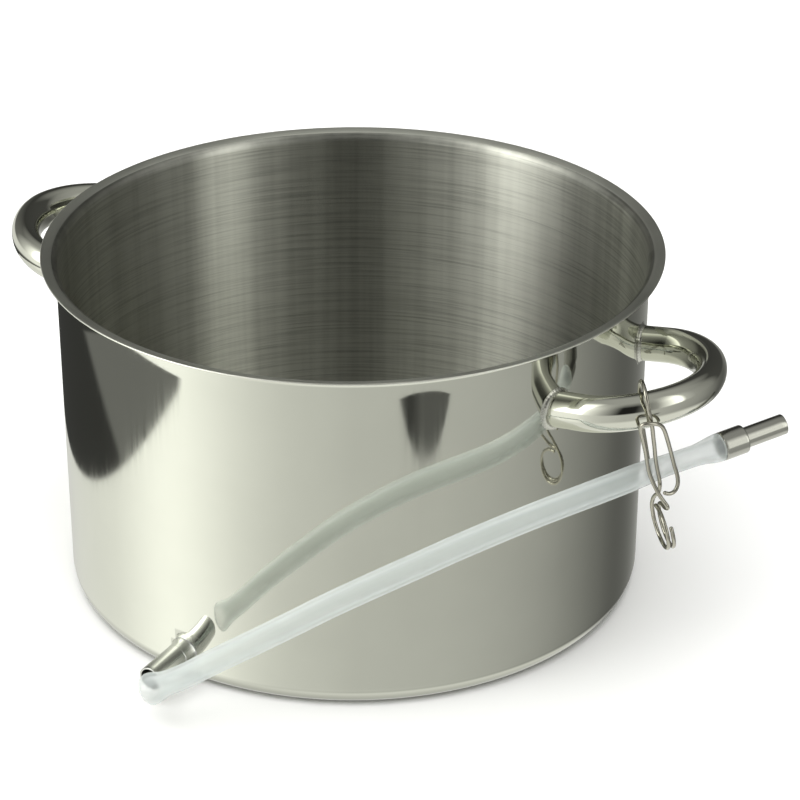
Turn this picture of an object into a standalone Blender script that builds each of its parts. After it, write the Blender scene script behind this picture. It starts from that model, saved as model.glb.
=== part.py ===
"""Brew kettle: a deep steel kettle with two tubular handles, a drain spout, a hose and its pinch clamp.

Metres, +Z up. The origin is the middle of the kettle's base, on the surface that it stands on.
The handles point along +X and -X, and the drain spout along -Y.
"""

import math

import bmesh
import bpy
import numpy as np
from mathutils import Matrix, Vector

# Driving dimensions of the kettle.
HEIGHT = 0.192
WALL_RADIUS = 0.160
RIM_RADIUS = 0.168
SHEET = 0.0010
BASE_CORNER = 0.0085
LIP_BEND = 0.0050
LIP_SLOPE = math.radians(12)
SHELL_STEPS = 96
GAP = 0.0003

# Handles: an oval tube bent to a flattened loop, and tilted up away from the wall.
HANDLE_REACH = 0.0518
HANDLE_HALF_SPREAD = 0.0457
HANDLE_ROOT_HALF_SPREAD = 0.0450
HANDLE_LEG = 0.0105
HANDLE_ROUNDNESS = 1.87
HANDLE_ROOT_HEIGHT = 0.1555
HANDLE_TILT = math.radians(8.9)
HANDLE_WIDTH = 0.0164
HANDLE_DEPTH = 0.0196
HANDLE_TUBE_WALL = 0.0015
HANDLE_TURNS = {"handle_right": 0.0, "handle_left": math.radians(182.5)}
WELD_RADIUS = 0.0012

# Drain spout: a plain tube through the wall, just above the base.
SPOUT_RADIUS = 0.0070
SPOUT_BORE_RADIUS = 0.0060
SPOUT_HEIGHT = 0.0170
SPOUT_TIP = 0.1895
SPOUT_ROOT = 0.1586
SPOUT_TILT = math.radians(3.4)

# Hose: its centre line, from the cut end beside the spout up to the outlet fitting.
HOSE_RADIUS = 0.0065
HOSE_NECK_RADIUS = 0.0054
HOSE_PINCH_RADIUS = 0.0050
HOSE_SEGMENTS = 30
HOSE_ROUTE = (
    (0.008, -0.199, 0.018),
    (0.028, -0.198, 0.032),
    (0.047, -0.195, 0.047),
    (0.066, -0.189, 0.061),
    (0.084, -0.181, 0.074),
    (0.101, -0.171, 0.086),
    (0.117, -0.159, 0.096),
    (0.133, -0.144, 0.105),
    (0.147, -0.127, 0.112),
    (0.160, -0.107, 0.117),
    (0.171, -0.087, 0.120),
    (0.182, -0.066, 0.1222),
    (0.192, -0.046, 0.1240),
    (0.2014, -0.0268, 0.1258),
    (0.2115, -0.0109, 0.1279),
    (0.2217, 0.0050, 0.1302),
)

# Outlet fitting: a plain tube with a collar, in line with the hose's upper end.
OUTLET_AXIS = Vector((0.5329, 0.8342, 0.1413)).normalized()
OUTLET_RADIUS = 0.0054
OUTLET_BORE_RADIUS = 0.0044
OUTLET_REACH = 0.0370
COLLAR_RADIUS = 0.00745
COLLAR_LENGTH = 0.0134

# Pinch clamp: two arms of spring wire, each ending in one turn of the spring.
WIRE_RADIUS = 0.00105
SPRING_CENTRE = Vector((0.2049, -0.0203, 0.0908))
BAR_CENTRE = Vector((0.1973, -0.0340, 0.1613))
SPRING_AXIS_HINT = Vector((0.679, 0.693, 0.248))
SPRING_RADIUS = 0.0116
SPRING_OFFSET = 0.0018
SPRING_END_OFFSET = 0.0013
SPRING_SWEEP = math.radians(290)

STEEL_POLISHED = ("polished_steel", (0.66, 0.66, 0.62), 0.12, 1.0)
STEEL_SATIN = ("satin_steel", (0.60, 0.60, 0.57), 0.30, 1.0)
STEEL_WELD = ("weld_steel", (0.52, 0.51, 0.48), 0.40, 1.0)
STEEL_WIRE = ("spring_wire", (0.55, 0.54, 0.48), 0.22, 1.0)
SILICONE = ("clear_silicone", (0.86, 0.90, 0.91), 0.35, 0.0)


def clear_scene():
    """Take every object out of the scene."""
    for obj in list(bpy.data.objects):
        bpy.data.objects.remove(obj, do_unlink=True)


def material(finish):
    """The material of a finish, made on its first use."""
    name, colour, roughness, metallic = finish
    made = bpy.data.materials.get(name)
    if made is None:
        made = bpy.data.materials.new(name)
        made.use_nodes = True
        shader = made.node_tree.nodes["Principled BSDF"]
        shader.inputs["Base Color"].default_value = (*colour, 1.0)
        shader.inputs["Roughness"].default_value = roughness
        shader.inputs["Metallic"].default_value = metallic
    return made


def add_object(name, data, finish):
    """Link a new object that shows this mesh or curve in this finish."""
    obj = bpy.data.objects.new(name, data)
    bpy.context.scene.collection.objects.link(obj)
    if not data.materials:
        data.materials.append(material(finish))
    return obj


def finish_mesh(mesh, sharp=35):
    """Shade a mesh smooth, apart from its edges over this many degrees."""
    mesh.shade_smooth()
    mesh.set_sharp_from_angle(angle=math.radians(sharp))


def turned(name, profile, steps, finish):
    """A solid turned about Z from an open profile of (radius, height) that starts and ends on the axis,
    or from a closed one that stays off it."""
    mesh = bpy.data.meshes.new(name)
    shape = bmesh.new()
    corners = [shape.verts.new((radius, 0.0, height)) for radius, height in profile]
    for first, second in zip(corners, corners[1:]):
        shape.edges.new((first, second))
    if min(radius for radius, _ in profile) > 0:
        shape.edges.new((corners[-1], corners[0]))
    bmesh.ops.spin(
        shape,
        geom=list(shape.verts) + list(shape.edges),
        axis=(0, 0, 1),
        cent=(0, 0, 0),
        angle=math.tau,
        steps=steps,
        use_merge=True,
    )
    bmesh.ops.remove_doubles(shape, verts=shape.verts, dist=1e-6)
    bmesh.ops.recalc_face_normals(shape, faces=shape.faces)
    shape.to_mesh(mesh)
    shape.free()
    finish_mesh(mesh)
    return add_object(name, mesh, finish)


def arc(centre, radius, start, end, count):
    """Points on an arc in a plane, from one angle to another in degrees."""
    angles = np.radians(np.linspace(start, end, count))
    return [(centre[0] + radius * math.cos(a), centre[1] + radius * math.sin(a)) for a in angles]


def shell_profile():
    """The kettle's section: a sheet that follows one centre line, thick by SHEET all over."""
    half = SHEET / 2
    wall = WALL_RADIUS - half
    corner = BASE_CORNER - half
    lip_turn = math.degrees(math.pi / 2 - LIP_SLOPE)
    lip_run = RIM_RADIUS - half - wall - LIP_BEND * (1 - math.cos(math.radians(lip_turn)))
    lip_length = lip_run / math.cos(LIP_SLOPE)
    lip_end = HEIGHT - half
    lip_start = lip_end - lip_length * math.sin(LIP_SLOPE)
    bend_start = lip_start - LIP_BEND * math.sin(math.radians(lip_turn))

    def side(shift):
        """The sheet's face this far outside its centre line, from the floor's middle up to the lip."""
        floor = [(0.0, half - shift)]
        foot = arc((wall - corner, half + corner), corner + shift, -90, 0, 7)
        bend = arc((wall + LIP_BEND, bend_start), LIP_BEND - shift, 180, 180 - lip_turn, 6)
        return floor + foot + bend

    tip = Vector((RIM_RADIUS - half, lip_end))
    edge = arc(tip, half, -78, 102, 5)
    return side(half) + edge + side(-half)[::-1]


def spout_frame():
    """The drain spout's frame: its Z axis runs out along the spout, from the kettle's own axis."""
    return Matrix.Translation((0, 0, SPOUT_HEIGHT + WALL_RADIUS * math.tan(SPOUT_TILT))) @ Matrix.Rotation(
        math.pi / 2 + SPOUT_TILT, 4, "X"
    )


def kettle_shell():
    """The drawn kettle, with the hole that the drain spout passes through."""
    shell = turned("kettle_shell", shell_profile(), SHELL_STEPS, STEEL_POLISHED)
    bpy.ops.mesh.primitive_cylinder_add(vertices=32, radius=SPOUT_RADIUS + GAP, depth=0.024)
    cutter = bpy.context.object
    cutter.name = "spout_hole_cutter"
    cutter.matrix_world = spout_frame() @ Matrix.Translation((0, 0, WALL_RADIUS))
    cutter.hide_render = True
    cutter.display_type = "WIRE"
    cut = shell.modifiers.new("spout_hole", "BOOLEAN")
    cut.operation = "DIFFERENCE"
    cut.solver = "EXACT"
    cut.object = cutter
    return shell


def pipe_profile(outer, bore, low, high, chamfer=0.0003):
    """The section of a tube between two heights, with its outer edges broken."""
    return [
        (outer, low + chamfer),
        (outer, high - chamfer),
        (outer - chamfer, high),
        (bore, high),
        (bore, low),
        (outer - chamfer, low),
    ]


def spout_tube():
    """The drain spout: a plain tube that ends flush inside the kettle."""
    profile = pipe_profile(SPOUT_RADIUS, SPOUT_BORE_RADIUS, SPOUT_ROOT, SPOUT_TIP)
    tube = turned("spout_tube", profile, 32, STEEL_SATIN)
    tube.matrix_world = spout_frame()
    return tube


def wire(name, points, radius, finish, closed=False, sides=2, radii=None):
    """A round bar along these points, as a curve with a bevel: its ends are capped unless it is a ring."""
    curve = bpy.data.curves.new(name, "CURVE")
    curve.dimensions = "3D"
    curve.bevel_depth = radius
    curve.bevel_resolution = sides
    curve.use_fill_caps = not closed
    spline = curve.splines.new("POLY")
    spline.points.add(len(points) - 1)
    for index, point in enumerate(points):
        spline.points[index].co = (*point, 1.0)
        spline.points[index].radius = radii[index] if radii else 1.0
    spline.use_cyclic_u = closed
    return add_object(name, curve, finish)


def weld_bead(name, centre, half_width, half_height, turn, finish=STEEL_WELD):
    """A fillet bead round an oval tube where it meets the wall: it follows the wall's curve all the way."""
    reach = WELD_RADIUS + GAP
    points = []
    for step in range(40):
        angle = math.tau * step / 40
        along = centre[0] + (half_width + reach) * math.cos(angle)
        up = centre[1] + (half_height + reach) * math.sin(angle)
        out = math.sqrt((WALL_RADIUS + reach) ** 2 - along**2)
        points.append(Matrix.Rotation(turn, 3, "Z") @ Vector((out, along, up)))
    return wire(name, points, WELD_RADIUS, finish, closed=True, sides=1)


def handle_height(out):
    """The height of a handle's centre line at this distance from the kettle's axis."""
    return HANDLE_ROOT_HEIGHT + (out - WALL_RADIUS) * math.tan(HANDLE_TILT)


def handle_line():
    """A handle's centre line in plan: a short leg, a superellipse loop and a leg back.

    The loop's points are (out, along): out grows by the cosine and along by the sine of one angle, each
    to the power of two over the roundness.
    """
    power = 2 / HANDLE_ROUNDNESS
    start = WALL_RADIUS + HANDLE_LEG
    loop = []
    for angle in np.linspace(-math.pi / 2, math.pi / 2, 27):
        out = start + (HANDLE_REACH - HANDLE_LEG) * max(math.cos(angle), 0.0) ** power
        along = HANDLE_HALF_SPREAD * math.copysign(abs(math.sin(angle)) ** power, angle)
        loop.append((out, along))
    root_out = math.sqrt((WALL_RADIUS + GAP) ** 2 - HANDLE_ROOT_HALF_SPREAD**2)
    foot = (root_out, HANDLE_ROOT_HALF_SPREAD)
    knee = ((root_out + start) / 2, (HANDLE_ROOT_HALF_SPREAD + HANDLE_HALF_SPREAD) / 2)
    return [(foot[0], -foot[1]), (knee[0], -knee[1])] + loop + [knee, foot]


def oval_rings(half_width, half_depth, sides):
    """The rings of corners of an oval tube along the handle's line, its end rings cut to the wall's curve."""
    line = handle_line()
    rings = []
    for index, (out, along) in enumerate(line):
        before = line[max(index - 1, 0)]
        after = line[min(index + 1, len(line) - 1)]
        step_out = after[0] - before[0]
        step_along = after[1] - before[1]
        length = math.hypot(step_out, step_along)
        normal = (step_along / length, -step_out / length)
        ring = []
        for side in range(sides):
            angle = math.tau * side / sides
            across = half_width * math.cos(angle)
            ring_out = out + normal[0] * across
            ring_along = along + normal[1] * across
            if index in (0, len(line) - 1):
                ring_out = math.sqrt((WALL_RADIUS + GAP) ** 2 - ring_along**2)
            height = handle_height(ring_out) + half_depth * math.sin(angle)
            ring.append((ring_out, ring_along, height))
        rings.append(ring)
    return rings


def bridge_rings(shape, rings):
    """Join rings of corners with quads, and give back the first and the last ring."""
    made = [[shape.verts.new(corner) for corner in ring] for ring in rings]
    sides = len(made[0])
    for first, second in zip(made, made[1:]):
        for side in range(sides):
            after = (side + 1) % sides
            shape.faces.new((first[side], first[after], second[after], second[side]))
    return made[0], made[-1]


def handle(name, turn):
    """A handle: a hollow oval tube, open at its two roots, turned to its place on the wall."""
    sides = 18
    mesh = bpy.data.meshes.new(name)
    shape = bmesh.new()
    outer = bridge_rings(shape, oval_rings(HANDLE_WIDTH / 2, HANDLE_DEPTH / 2, sides))
    hollow = (HANDLE_WIDTH / 2 - HANDLE_TUBE_WALL, HANDLE_DEPTH / 2 - HANDLE_TUBE_WALL)
    inner = bridge_rings(shape, oval_rings(*hollow, sides))
    for outside, inside in zip(outer, inner):
        for side in range(sides):
            after = (side + 1) % sides
            shape.faces.new((outside[side], inside[side], inside[after], outside[after]))
    bmesh.ops.recalc_face_normals(shape, faces=shape.faces)
    shape.to_mesh(mesh)
    shape.free()
    finish_mesh(mesh)
    made = add_object(name, mesh, STEEL_POLISHED)
    made.rotation_euler = (0, 0, turn)
    return made


def handle_welds(name, turn):
    """The two weld beads at a handle's roots."""
    height = handle_height(math.sqrt(WALL_RADIUS**2 - HANDLE_ROOT_HALF_SPREAD**2))
    for side, end in ((-1, "front"), (1, "back")):
        centre = (side * HANDLE_ROOT_HALF_SPREAD, height)
        weld_bead(f"{name}_weld_{end}", centre, HANDLE_WIDTH / 2, HANDLE_DEPTH / 2, turn)


def smooth_points(route, count):
    """Points on one smooth curve (Catmull-Rom) through the route's own points, evenly by parameter."""
    anchors = [Vector(point) for point in route]
    anchors = [2 * anchors[0] - anchors[1]] + anchors + [2 * anchors[-1] - anchors[-2]]
    spans = len(anchors) - 3
    points = []
    for step in range(count + 1):
        place = spans * step / count
        index = min(int(place), spans - 1)
        t = place - index
        a, b, c, d = anchors[index : index + 4]
        bend = 2 * a - 5 * b + 4 * c - d
        twist = 3 * b - a - 3 * c + d
        points.append((2 * b + t * (c - a) + t * t * bend + t**3 * twist) / 2)
    return points


def hose():
    """The drain hose: a plain tube, narrower where the clamp pinches it and in its stretched neck."""
    points = smooth_points(HOSE_ROUTE, HOSE_SEGMENTS)
    pinch = Vector(HOSE_ROUTE[13])
    radii = []
    for point in points:
        beyond = (point - pinch).dot(OUTLET_AXIS)
        radius = HOSE_RADIUS
        if beyond > 0:
            radius = HOSE_NECK_RADIUS
        if abs(beyond) < 0.012:
            radius = HOSE_PINCH_RADIUS
        radii.append(radius / HOSE_RADIUS)
    radii[-1] = 1.0
    return wire("hose", points, HOSE_RADIUS, SILICONE, sides=3, radii=radii)


def outlet_frame(along):
    """A frame on the outlet fitting's axis, this far beyond the hose's end."""
    place = Vector(HOSE_ROUTE[-1]) + OUTLET_AXIS * along
    return Matrix.Translation(place) @ OUTLET_AXIS.to_track_quat("Z", "Y").to_matrix().to_4x4()


def outlet_fitting():
    """The steel fitting in the hose's upper end: a tube, and a collar round it."""
    tube_profile = pipe_profile(OUTLET_RADIUS, OUTLET_BORE_RADIUS, 0.0, OUTLET_REACH)
    tube = turned("outlet_tube", tube_profile, 32, STEEL_SATIN)
    tube.matrix_world = outlet_frame(GAP)
    collar_profile = pipe_profile(COLLAR_RADIUS, OUTLET_RADIUS + GAP, 0.0, COLLAR_LENGTH, 0.0005)
    collar = turned("outlet_collar", collar_profile, 32, STEEL_SATIN)
    collar.matrix_world = outlet_frame(GAP)


def clamp_frame():
    """The clamp's frame, at the middle of its spring: X along the spring's axis, Y towards the kettle's
    wall and Z up to the handle's bar."""
    up = (BAR_CENTRE - SPRING_CENTRE).normalized()
    axis = (SPRING_AXIS_HINT - up * SPRING_AXIS_HINT.dot(up)).normalized()
    inward = up.cross(axis)
    turn = Matrix((axis, inward, up)).transposed().to_4x4()
    return Matrix.Translation(SPRING_CENTRE) @ turn


def spring_turn(side, start):
    """One turn of the spring: side is the axis end, and start is the angle where the arm runs into it, from
    the back and down."""
    points = []
    for step in range(31):
        share = step / 30
        angle = start + SPRING_SWEEP * share
        shift = side * (SPRING_OFFSET + (SPRING_END_OFFSET - SPRING_OFFSET) * share)
        points.append((shift, SPRING_RADIUS * math.cos(angle), -SPRING_RADIUS * math.sin(angle)))
    return points


def clamp_arm(name, spring, route, count):
    """An arm of the clamp: the wire of its route, in millimetres, which runs on into its spring turn."""
    leg = smooth_points([(x / 1000, y / 1000, z / 1000) for x, y, z in route], count)
    points = leg[:-1] + [Vector(point) for point in spring]
    arm = wire(name, points, WIRE_RADIUS, STEEL_WIRE)
    arm.matrix_world = clamp_frame()
    return arm


# The hanging arm: from its free end behind the hose, over the handle's bar, down in front of the hose,
# and back to the spring.
HANGER_ROUTE = (
    (-0.6, 7.9, 26.5),
    (-0.6, 7.0, 33.0),
    (-0.6, 6.9, 40.0),
    (-0.4, 7.6, 48.0),
    (0.0, 9.0, 57.0),
    (0.6, 10.6, 66.0),
    (1.3, 10.9, 73.0),
    (1.9, 9.3, 80.0),
    (1.9, 5.6, 85.6),
    (1.6, 1.0, 88.6),
    (1.0, -4.0, 88.8),
    (0.4, -8.2, 86.6),
    (0.0, -10.4, 81.5),
    (0.0, -10.9, 75.0),
    (0.3, -10.5, 68.5),
    (0.3, -9.1, 61.0),
    (0.3, -7.9, 54.0),
    (0.1, -7.0, 47.0),
    (0.1, -6.9, 40.0),
    (0.3, -6.8, 34.0),
    (0.2, -5.2, 28.0),
    (-0.4, -2.0, 22.6),
    (-0.9, 3.2, 17.8),
    (-1.3, 8.0, 12.4),
    (-1.7, 11.0, 6.5),
    (-1.8, 11.6, 0.0),
)

# The jaw: a loop that presses the hose from the front, crosses the hanging arm, turns back at a corner
# and ends in the spring.
JAW_ROUTE = (
    (1.3, -9.7, 26.9),
    (3.4, -9.6, 25.6),
    (5.6, -9.1, 25.3),
    (7.7, -8.4, 26.4),
    (9.2, -7.7, 29.2),
    (9.6, -7.3, 33.4),
    (9.1, -7.0, 38.5),
    (8.7, -7.0, 43.5),
    (8.1, -7.7, 50.0),
    (7.1, -9.2, 58.3),
    (6.1, -10.8, 64.2),
    (4.9, -12.1, 68.2),
    (2.9, -13.1, 70.9),
    (0.2, -13.5, 72.4),
    (-2.8, -13.4, 73.4),
    (-5.0, -12.8, 73.0),
    (-6.0, -12.0, 70.8),
    (-5.8, -10.9, 67.0),
    (-5.2, -9.5, 61.0),
    (-4.7, -8.5, 54.0),
    (-4.7, -8.1, 47.0),
    (-4.6, -8.1, 41.0),
    (-3.7, -8.3, 35.2),
    (-2.6, -8.8, 30.0),
    (-1.5, -9.6, 26.0),
    (-0.2, -10.6, 22.6),
    (0.9, -11.6, 19.9),
    (1.2, -9.8, 17.2),
    (1.3, -6.2, 15.0),
    (1.6, -2.6, 12.9),
    (1.8, 1.0, 11.56),
)


def pinch_clamp():
    """The clamp's two arms, one on each side of the spring's middle."""
    clamp_arm("clamp_hanger", spring_turn(-1, 0.0), HANGER_ROUTE, 75)
    clamp_arm("clamp_jaw", spring_turn(1, math.radians(-85)), JAW_ROUTE, 90)


def main():
    """Build the kettle, part by part."""
    clear_scene()
    kettle_shell()
    spout_tube()
    weld_bead("spout_weld", (0.0, SPOUT_HEIGHT), SPOUT_RADIUS, SPOUT_RADIUS, -math.pi / 2)
    for name, turn in HANDLE_TURNS.items():
        handle(name, turn)
        handle_welds(name, turn)
    hose()
    outlet_fitting()
    pinch_clamp()


main()
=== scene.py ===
"""Scene of the brew kettle: the studio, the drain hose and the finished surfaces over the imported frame.

Metres, +Z up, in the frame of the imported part: the origin is the middle of the kettle's base, the handles
point along +X and -X and the drain spout along -Y.
"""

import functools
import logging
import math
from dataclasses import dataclass, field
from enum import Enum

import bmesh
import bpy
import numpy as np
from mathutils import Matrix, Vector


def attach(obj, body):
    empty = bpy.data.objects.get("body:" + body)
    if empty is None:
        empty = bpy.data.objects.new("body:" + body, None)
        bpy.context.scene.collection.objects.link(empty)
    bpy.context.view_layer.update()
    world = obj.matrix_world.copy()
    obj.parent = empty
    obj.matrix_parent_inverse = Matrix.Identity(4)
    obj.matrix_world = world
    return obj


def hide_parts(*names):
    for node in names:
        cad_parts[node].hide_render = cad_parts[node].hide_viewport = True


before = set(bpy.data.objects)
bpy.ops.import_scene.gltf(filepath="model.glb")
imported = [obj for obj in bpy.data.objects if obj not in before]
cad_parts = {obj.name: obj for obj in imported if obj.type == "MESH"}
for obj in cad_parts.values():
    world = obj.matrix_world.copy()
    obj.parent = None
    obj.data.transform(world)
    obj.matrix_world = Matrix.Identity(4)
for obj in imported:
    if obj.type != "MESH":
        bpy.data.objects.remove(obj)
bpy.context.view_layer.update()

LOG = logging.getLogger("kettle")
MM = 0.001
FIXED_BODY = "kettle"
JAW_BODY = "clamp_jaw"
CAMERA_TURN = math.radians(34.0)
Socket = bpy.types.NodeSocket
MERGE_DISTANCE = 1e-7
NO_LENGTH = 1e-8
NO_AREA = 1e-6


# ---------------------------------------------------------------- surfaces


def skin(
    name: str,
    grid: np.ndarray,
    ring: bool = True,
    poles: bool = False,
    rows: np.ndarray | None = None,
) -> bpy.types.Mesh:
    """Make a mesh over a grid of points whose columns close on themselves.

    Corner (i, j) joins (i + 1, j), (i + 1, j + 1) and (i, j + 1), with j counted round the columns, and i
    round the rows too where ring is set. The map is (distance round, distance along), in metres.

    Args:
        name: The mesh's name.
        grid: Points, shaped (rows, columns, 3).
        ring: Whether the last row joins the first.
        poles: Whether the first and the last row are each drawn together to one point.
        rows: A material index for each row of faces, or None for one material.

    Returns:
        The mesh, smooth, with its faces outwards.
    """
    count, sides = grid.shape[:2]
    bands = count if ring else count - 1
    i, j = np.meshgrid(np.arange(bands), np.arange(sides), indexing="ij")
    after_i, after_j = (i + 1) % count, (j + 1) % sides
    here, next_row = i * sides, after_i * sides
    quads = np.stack([here + j, here + after_j, next_row + after_j, next_row + j], -1)
    points = grid.reshape(-1, 3)
    around = np.linalg.norm(np.roll(grid, -1, axis=1) - grid, axis=2).sum(1).max() / sides
    along = np.r_[0.0, np.cumsum(np.linalg.norm(np.diff(grid[:, 0], axis=0), axis=1))]
    along = np.r_[along, along[-1] + np.linalg.norm(grid[0, 0] - grid[-1, 0])]
    u = np.stack([j, j + 1, j + 1, j], -1) * around
    v = np.stack([along[i], along[i], along[i + 1], along[i + 1]], -1)
    mesh = bpy.data.meshes.new(name)
    mesh.from_pydata(points, [], quads.reshape(-1, 4))
    layer = mesh.uv_layers.new(name="lay")
    layer.data.foreach_set("uv", np.stack([u, v], -1).astype(np.float32).ravel())
    if rows is not None:
        mesh.polygons.foreach_set("material_index", np.repeat(rows[:bands], sides).astype(np.int32))
    mesh.polygons.foreach_set("use_smooth", np.ones(len(mesh.polygons), dtype=bool))
    if poles:
        close_poles(mesh)
    if signed_volume(mesh) < 0:
        mesh.flip_normals()
    mesh.update()
    return mesh


def close_poles(mesh: bpy.types.Mesh) -> None:
    """Merge the points that lie on one spot, and so close each pole.

    Args:
        mesh: The mesh, changed in place.
    """
    work = bmesh.new()
    work.from_mesh(mesh)
    bmesh.ops.remove_doubles(work, verts=work.verts, dist=MERGE_DISTANCE)
    bmesh.ops.dissolve_degenerate(work, edges=work.edges, dist=NO_LENGTH)
    work.to_mesh(mesh)
    work.free()


def split_to_triangles(mesh: bpy.types.Mesh) -> None:
    """Split the many-sided faces round a cut into triangles and drop any that have no area.

    Args:
        mesh: The mesh, changed in place.
    """
    work = bmesh.new()
    work.from_mesh(mesh)
    many = [face for face in work.faces if len(face.verts) > 4]
    bmesh.ops.triangulate(work, faces=many, quad_method="BEAUTY", ngon_method="BEAUTY")
    bmesh.ops.dissolve_degenerate(work, edges=work.edges, dist=NO_AREA)
    work.to_mesh(mesh)
    work.free()


def signed_volume(mesh: bpy.types.Mesh) -> float:
    """Six times a closed mesh's volume, negative where its faces point inwards.

    Args:
        mesh: A closed mesh.

    Returns:
        The sum of the triple products of the corners of each triangle.
    """
    mesh.calc_loop_triangles()
    points = np.empty(len(mesh.vertices) * 3, np.float32)
    mesh.vertices.foreach_get("co", points)
    faces = np.empty(len(mesh.loop_triangles) * 3, np.int32)
    mesh.loop_triangles.foreach_get("vertices", faces)
    corners = points.reshape(-1, 3).astype(float)[faces.reshape(-1, 3)]
    return float(np.einsum("ij,ij->i", corners[:, 0], np.cross(corners[:, 1], corners[:, 2])).sum())


def smooth_curve(route: np.ndarray, count: int) -> np.ndarray:
    """Points on one smooth curve through a route.

    Each span between two anchors b and c is the cubic that leaves b along c - a and meets c along d - b
    (Catmull-Rom), with the route carried on straight past its two ends.

    Args:
        route: Anchors, shaped (n, 3).
        count: How many points to give back.

    Returns:
        The points, shaped (count, 3).
    """
    ends = np.vstack([2 * route[:1] - route[1:2], route, 2 * route[-1:] - route[-2:-1]])
    place = np.linspace(0, len(route) - 1, count)
    index = np.minimum(place.astype(int), len(route) - 2)
    t = (place - index)[:, None]
    a, b, c, d = (ends[index + shift] for shift in range(4))
    bend = 2 * a - 5 * b + 4 * c - d
    twist = 3 * b - a - 3 * c + d
    return (2 * b + t * (c - a) + t**2 * bend + t**3 * twist) / 2


def even_curve(points: np.ndarray, count: int) -> np.ndarray:
    """The same curve with its points at even distances along it.

    Args:
        points: The curve, shaped (n, 3).
        count: How many points to give back.

    Returns:
        The points, shaped (count, 3).
    """
    run = np.r_[0.0, np.cumsum(np.linalg.norm(np.diff(points, axis=0), axis=1))]
    wanted = np.linspace(0, run[-1], count)
    return np.stack([np.interp(wanted, run, points[:, axis]) for axis in range(3)], -1)


def carried_frames(path: np.ndarray) -> tuple[np.ndarray, np.ndarray, np.ndarray]:
    """Directions along and across a path, carried along it with no twist.

    Args:
        path: The path, shaped (n, 3).

    Returns:
        The tangents and two directions across, each shaped (n, 3).
    """
    tangent = np.gradient(path, axis=0)
    tangent /= np.linalg.norm(tangent, axis=1)[:, None]
    start = np.eye(3)[np.abs(tangent[0]).argmin()]
    across = [start - tangent[0] * start.dot(tangent[0])]
    for step in tangent[1:]:
        carried = across[-1] - step * across[-1].dot(step)
        across.append(carried / np.linalg.norm(carried))
    across = np.array(across)
    across /= np.linalg.norm(across, axis=1)[:, None]
    return tangent, across, np.cross(tangent, across)


def swept(path: np.ndarray, radii: np.ndarray, sides: int) -> np.ndarray:
    """Rings round a path: point (i, j) is path i plus radius i times the direction at angle j across it.

    Args:
        path: The path, shaped (n, 3).
        radii: The radius at each point.
        sides: Points in a ring.

    Returns:
        The rings, shaped (n, sides, 3).
    """
    _, first, second = carried_frames(path)
    angle = np.linspace(0, math.tau, sides, endpoint=False)[None, :, None]
    outwards = np.cos(angle) * first[:, None] + np.sin(angle) * second[:, None]
    return path[:, None] + radii[:, None, None] * outwards


def round_wire(name: str, path: np.ndarray, radius: float, sides: int = 20) -> bpy.types.Mesh:
    """A round wire with domed ends.

    The radius is constant, and over the last length of one radius at each end it falls to nothing as the
    square root of one minus the square of the share of that length that is passed.

    Args:
        name: The mesh's name.
        path: The wire's middle line, with even steps.
        radius: The wire's radius.
        sides: Points in a ring.

    Returns:
        The closed mesh.
    """
    step = (path[1] - path[0], path[-1] - path[-2])
    step = [way / np.linalg.norm(way) for way in step]
    share = np.sin(np.linspace(0, math.pi / 2, 7))[1:]
    front = path[0] - step[0] * radius * share[::-1, None]
    back = path[-1] + step[1] * radius * share[:, None]
    dome = np.sqrt(np.maximum(1 - share**2, 0.0)) * radius
    line = np.vstack([front, path, back])
    radii = np.r_[dome[::-1], np.full(len(path), radius), dome]
    return skin(name, swept(line, radii, sides), ring=False, poles=True)


def turned(profile: np.ndarray, place: np.ndarray, turn: np.ndarray, sides: int) -> np.ndarray:
    """A profile of (radius, distance along) turned round an axis.

    Args:
        profile: The section, shaped (n, 2).
        place: Where distance 0 lies.
        turn: Three rows: two directions across and the axis.
        sides: Points in a ring.

    Returns:
        The rings, shaped (n, sides, 3).
    """
    angle = np.linspace(0, math.tau, sides, endpoint=False)
    round_way = np.cos(angle)[:, None] * turn[0] + np.sin(angle)[:, None] * turn[1]
    return place + profile[:, 0, None, None] * round_way[None] + profile[:, 1, None, None] * turn[2]


def axes_on(axis: np.ndarray) -> np.ndarray:
    """Two directions across an axis and the axis itself.

    Args:
        axis: The axis, of any length.

    Returns:
        The three unit directions, as rows.
    """
    axis = axis / np.linalg.norm(axis)
    start = np.eye(3)[np.abs(axis).argmin()]
    first = start - axis * start.dot(axis)
    first /= np.linalg.norm(first)
    return np.array([first, np.cross(axis, first), axis])


def arc(centre: tuple[float, float], radius: float, start: float, end: float, count: int) -> np.ndarray:
    """Points on an arc: centre plus radius times (cosine, sine), from one angle to another in degrees."""
    angle = np.radians(np.linspace(start, end, count))
    return np.stack([centre[0] + radius * np.cos(angle), centre[1] + radius * np.sin(angle)], -1)


def pipe_section(outer: float, bore: float, low: float, high: float, edge: float) -> np.ndarray:
    """The closed section of a pipe, with each of its four edges rounded by a quarter arc.

    Args:
        outer: The outside radius.
        bore: The inside radius.
        low: Where it starts along its axis.
        high: Where it ends.
        edge: The radius of its edges.

    Returns:
        Points of (radius, distance along), shaped (n, 2).
    """
    run = np.linspace(low + edge, high - edge, 14)[1:-1]
    corners = [
        arc((outer - edge, low + edge), edge, -90, 0, 5),
        np.stack([np.full_like(run, outer), run], -1),
        arc((outer - edge, high - edge), edge, 0, 90, 5),
        arc((bore + edge, high - edge), edge, 90, 180, 5),
        np.stack([np.full_like(run, bore), run[::-1]], -1),
        arc((bore + edge, low + edge), edge, 180, 270, 5),
    ]
    return np.vstack(corners)


# ---------------------------------------------------------------- finishes


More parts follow.
